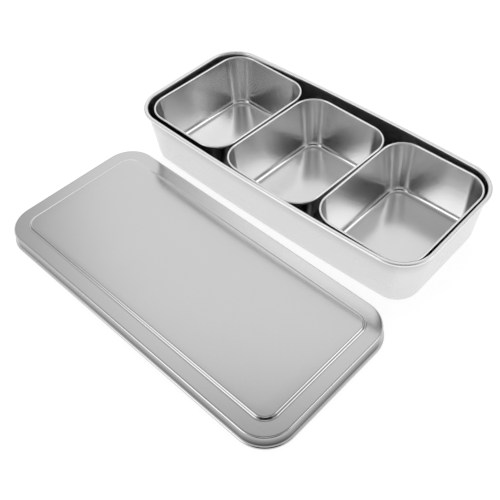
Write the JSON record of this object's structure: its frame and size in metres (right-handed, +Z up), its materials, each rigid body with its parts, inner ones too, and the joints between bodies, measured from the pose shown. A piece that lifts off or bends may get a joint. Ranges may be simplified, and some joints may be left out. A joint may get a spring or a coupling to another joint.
{
  "type": "spice box",
  "caption": "Long shallow spice box of pressed steel with a rolled rim, deep lift-out cups standing loose inside it, and a separate flat lid with a raised panel that pushes on over the rim.",
  "frame": {"origin": "centre of the outer box's flat underside", "axes": "+X along the outer box's length, +Y across it and away from the lid, +Z up out of its mouth"},
  "size_m": [0.2775, 0.2542, 0.0507],
  "materials": {
    "box_steel": "satin",
    "cup_steel": "satin",
    "lid_steel": "satin"
  },
  "bodies": {
    "outer_box": {"outer_box": "box_steel"},
    "left_cup": {"left_cup": "cup_steel"},
    "middle_cup": {"middle_cup": "cup_steel"},
    "right_cup": {"right_cup": "cup_steel"},
    "lid": {"lid": "lid_steel"}
  },
  "joints": [
    {"name": "left_cup_lift", "type": "slide", "parent": "outer_box", "child": "left_cup", "axis": [0, 0, 1], "range_m": [0, 0.06]},
    {"name": "middle_cup_lift", "type": "slide", "parent": "outer_box", "child": "middle_cup", "axis": [0, 0, 1], "range_m": [0, 0.06]},
    {"name": "right_cup_lift", "type": "slide", "parent": "outer_box", "child": "right_cup", "axis": [0, 0, 1], "range_m": [0, 0.06]},
    {"name": "lid_lift", "type": "slide", "parent": "outer_box", "child": "lid", "axis": [0, -0.5, 0.866], "range_m": [0, 0.08]}
  ]
}
